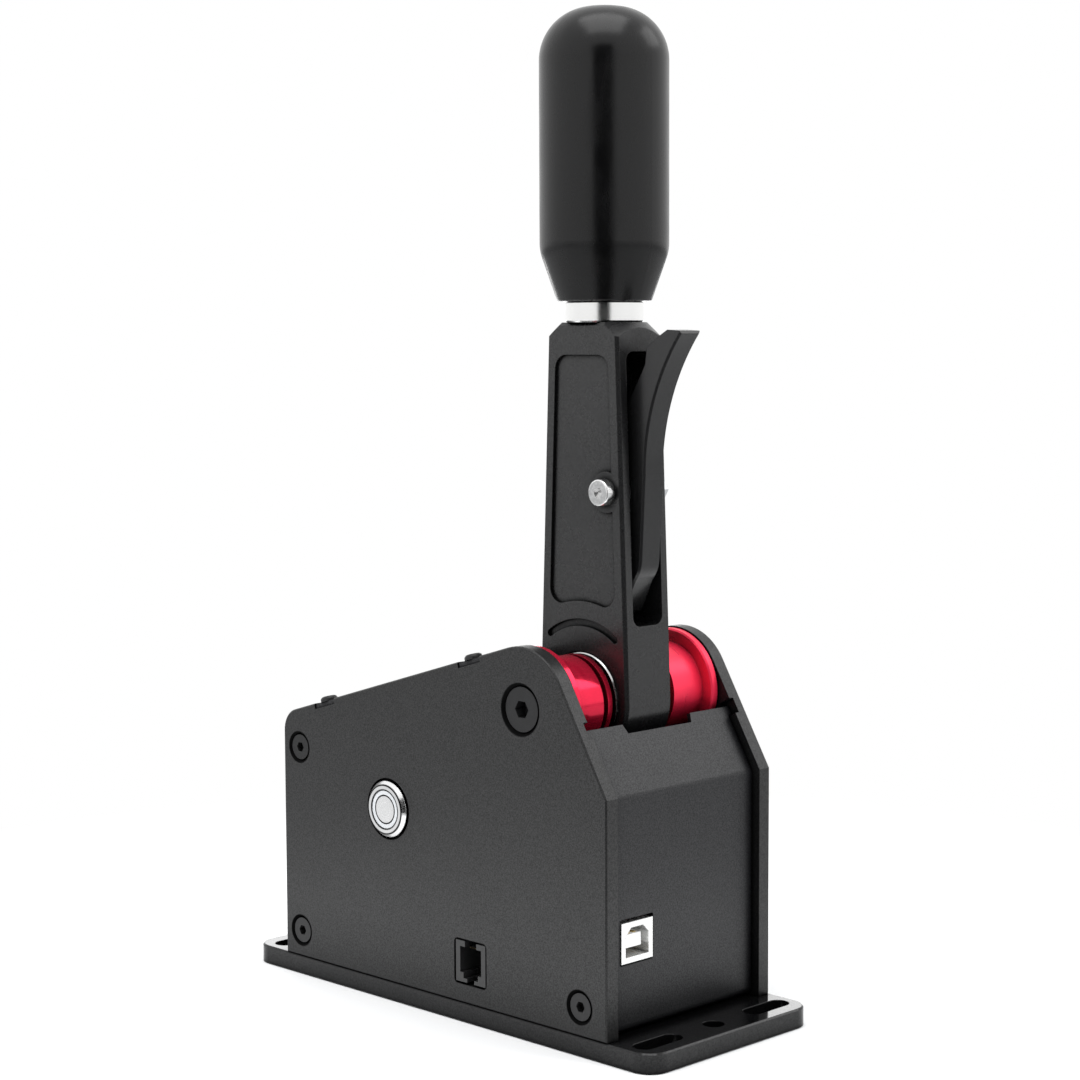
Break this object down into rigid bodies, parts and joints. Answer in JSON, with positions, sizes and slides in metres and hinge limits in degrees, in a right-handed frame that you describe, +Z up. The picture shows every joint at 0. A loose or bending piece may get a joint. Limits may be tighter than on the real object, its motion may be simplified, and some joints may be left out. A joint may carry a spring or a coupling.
{
  "type": "gear shifter",
  "caption": "Sim-racing gear shifter: lever with tall knob and finger trigger on a pivot between side plates, on a slotted base, with push button and data sockets.",
  "frame": {"origin": "centre of the base plate's underside", "axes": "+Z up; +X towards the front end, away from the driver, where the finger trigger and the USB socket are; -Y is the side with the push button and the modular socket"},
  "size_m": [0.183, 0.0759, 0.3106],
  "materials": {
    "powder_black": "fine-textured powder coat, dark grey-black",
    "lever_black": "fine blasted black anodising",
    "trigger_black": "fine-textured black coat",
    "cover_black": "fine-textured powder coat, black",
    "knob_black": "satin black",
    "screw_black": "black oxide, satin",
    "red_anodised": "bright red anodised",
    "silver_steel": "turned, satin",
    "zinc": "zinc plated",
    "bearing_steel": "ground and polished",
    "seal_black": "matte",
    "bar_alloy": "milled, satin",
    "bumper_rubber": "matte",
    "bronze": "sintered, matte",
    "brass": "turned, satin",
    "spring_steel": "drawn wire, satin",
    "magnet": "nickel plated",
    "board_green": "solder mask, satin",
    "chip_black": "moulded, matte",
    "jack_black": "moulded, satin",
    "usb_white": "moulded, satin",
    "gold": "gold plated",
    "acetal": "machined, matte",
    "button_black": "satin black anodised",
    "halo": "translucent, smoky",
    "switch_plastic": "moulded, matte"
  },
  "bodies": {
    "housing": {"base_plate": "powder_black", "side_plate_near": "powder_black", "side_plate_far": "powder_black", "front_cover": "cover_black", "top_cover": "cover_black", "cover_screws": "screw_black", "side_screws": "screw_black", "pivot_screws": "screw_black", "base_screws": "screw_black", "cross_bar_front": "bar_alloy", "cross_bar_rear": "bar_alloy", "cross_rod_top": "bar_alloy", "rod_block_rear": "bar_alloy", "rod_block_screws": "screw_black", "guide_rod": "bearing_steel", "bumpers": "bumper_rubber", "spacer_near": "red_anodised", "spacer_far": "red_anodised", "bearing_inner_rings": "bearing_steel", "spring_front": "spring_steel", "spring_rear": "spring_steel", "main_board": "board_green", "board_chips": "chip_black", "board_standoffs": "brass", "usb_standoffs": "brass", "board_screws": "zinc", "rj_jack": "jack_black", "rj_contacts": "gold", "usb_board": "board_green", "usb_shell": "usb_white", "usb_tongue": "usb_white", "usb_contacts": "gold", "button_bezel": "silver_steel", "button_halo": "halo", "button_nut": "zinc", "button_switch": "switch_plastic", "button_terminals": "gold", "button_spring": "spring_steel"},
    "lever": {"lever_arm": "lever_black", "bearing_outer_rings": "bearing_steel", "bearing_seals": "seal_black", "bearing_balls": "bearing_steel", "knob_stud": "zinc", "knob_collar": "silver_steel", "knob": "knob_black", "knob_insert": "brass", "trigger_screw": "silver_steel", "trigger_nut": "zinc", "trigger_washers": "acetal", "trigger_sensor_board": "board_green", "trigger_sensor_chip": "chip_black", "trigger_spring": "spring_steel"},
    "trigger": {"trigger": "trigger_black", "trigger_magnet": "magnet"},
    "shuttle": {"shuttle": "bar_alloy", "shuttle_bush": "bronze", "shuttle_pin": "bearing_steel", "drive_roller": "acetal", "shuttle_magnet": "magnet"},
    "button": {"button_cap": "silver_steel"}
  },
  "joints": [
    {"name": "lever_swing", "type": "hinge", "parent": "housing", "child": "lever", "pos_m": [0.0386, 0, 0.1005], "axis": [0, 1, 0], "range_deg": [-7, 7], "stiffness_Nm_per_rad": 30},
    {"name": "shuttle_slide", "type": "slide", "parent": "housing", "child": "shuttle", "axis": [1, 0, 0], "range_m": [-0.00645, 0.00645], "deforming": ["spring_front", "spring_rear"]},
    {"name": "trigger_pull", "type": "hinge", "parent": "lever", "child": "trigger", "pos_m": [0.0487, 0, 0.1647], "axis": [0, -1, 0], "range_deg": [0, 7], "stiffness_Nm_per_rad": 0.8, "springref_deg": -6.88, "deforming": ["trigger_spring"]},
    {"name": "button_press", "type": "slide", "parent": "housing", "child": "button", "axis": [0, 1, 0], "range_m": [0, 0.0015], "stiffness_N_per_m": 800, "springref_m": -0.001, "deforming": ["button_spring"]}
  ],
  "couplings": [
    {"joint": "shuttle_slide", "follows": "lever_swing", "m_per_rad": -0.0525}
  ]
}
